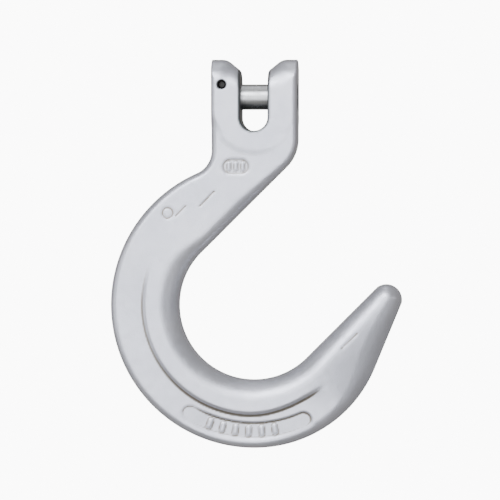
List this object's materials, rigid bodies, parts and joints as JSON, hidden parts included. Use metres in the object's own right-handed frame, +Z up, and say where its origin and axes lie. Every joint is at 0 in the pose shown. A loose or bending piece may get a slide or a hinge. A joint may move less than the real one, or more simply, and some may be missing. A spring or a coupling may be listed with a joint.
{
  "type": "clevis foundry hook",
  "caption": "Forged clevis hook with a wide round bowl and a long straight point; a cross pin in its fork holds the end link of a chain.",
  "frame": {"origin": "middle of the load pin's axis, between the fork's ears", "axes": "+Z up the load line out of the fork, +X across the fork towards the side the point is on, +Y through the hook from front to back"},
  "size_m": [0.1479, 0.024, 0.197],
  "materials": {
    "forged_steel": "satin silver grey finish over a shot-blasted drop forging",
    "pin_steel": "turned and hardened, semi bright",
    "spring_steel": "blackened hardened steel"
  },
  "bodies": {
    "hook": {"hook_body": "forged_steel"},
    "load_pin": {"load_pin": "pin_steel"},
    "retaining_pin": {"retaining_pin": "spring_steel"}
  },
  "joints": [
    {"name": "load_pin_turn", "type": "hinge", "parent": "hook", "child": "load_pin", "pos_m": [0, 0, 0], "axis": [1, 0, 0], "continuous": true},
    {"name": "retaining_pin_slide", "type": "slide", "parent": "hook", "child": "retaining_pin", "axis": [0, 1, 0], "range_m": [0, 0.022]}
  ]
}
